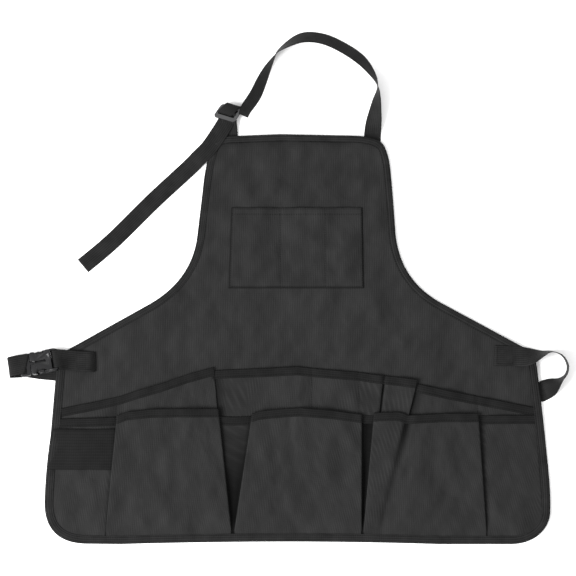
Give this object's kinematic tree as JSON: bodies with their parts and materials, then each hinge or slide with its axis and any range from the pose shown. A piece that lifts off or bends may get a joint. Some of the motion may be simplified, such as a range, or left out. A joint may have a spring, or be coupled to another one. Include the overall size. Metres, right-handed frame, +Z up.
{
  "type": "artist smock apron",
  "caption": "Flat-lying black work apron with a tapered bib, a chest pocket, two tiers of pleated waist pockets, an adjustable neck strap and a waist strap with a side-release buckle.",
  "frame": {"origin": "centre of the bounding box at the surface that the apron lies on", "axes": "+X towards the wearer's left side, +Y towards the bib's top, +Z up out of the apron's front"},
  "size_m": [0.8401, 0.7681, 0.0307],
  "materials": {
    "cloth": "black ribbed Oxford-weave polyester, matt with a soft sheen",
    "binding": "black woven binding tape, matt",
    "webbing": "black woven polypropylene webbing, low sheen",
    "buckle_plastic": "black moulded acetal, satin"
  },
  "bodies": {
    "apron": {"main_panel": "cloth", "bib_pocket": "cloth", "upper_pocket_panel": "cloth", "lower_pocket_panel": "cloth", "binding_bib_top": "binding", "binding_armhole_right": "binding", "binding_skirt": "binding", "binding_armhole_left": "binding", "upper_pocket_binding": "binding", "lower_pocket_binding": "binding", "side_loop_band": "webbing", "neck_strap": "webbing", "neck_strap_tail": "webbing", "neck_tab": "webbing", "waist_strap": "webbing", "waist_tab": "webbing", "buckle_female": "buckle_plastic"},
    "slider": {"strap_slider": "buckle_plastic", "neck_strap_wrap": "webbing"},
    "male_half": {"buckle_male": "buckle_plastic", "waist_strap_end": "webbing"},
    "latch_upper": {"latch_arm_upper": "buckle_plastic"},
    "latch_lower": {"latch_arm_lower": "buckle_plastic"}
  },
  "joints": [
    {"name": "slider_tilt", "type": "hinge", "parent": "apron", "child": "slider", "pos_m": [-0.0885, 0.2625, 0.009], "axis": [-0.9563, 0.2924, 0], "range_deg": [0, 20]},
    {"name": "buckle_release", "type": "slide", "parent": "apron", "child": "male_half", "axis": [-0.9816, -0.1908, 0], "range_m": [0, 0.026], "deforming": ["latch_arm_upper", "latch_arm_lower"]},
    {"name": "latch_upper_squeeze", "type": "hinge", "parent": "male_half", "child": "latch_upper", "pos_m": [-0.38613, -0.10327, 0.01046], "axis": [0.0494, -0.2541, -0.9659], "range_deg": [0, 14], "stiffness_Nm_per_rad": 0.05},
    {"name": "latch_lower_squeeze", "type": "hinge", "parent": "male_half", "child": "latch_lower", "pos_m": [-0.38251, -0.12185, 0.01554], "axis": [-0.0494, 0.2541, 0.9659], "range_deg": [0, 14], "stiffness_Nm_per_rad": 0.05}
  ]
}
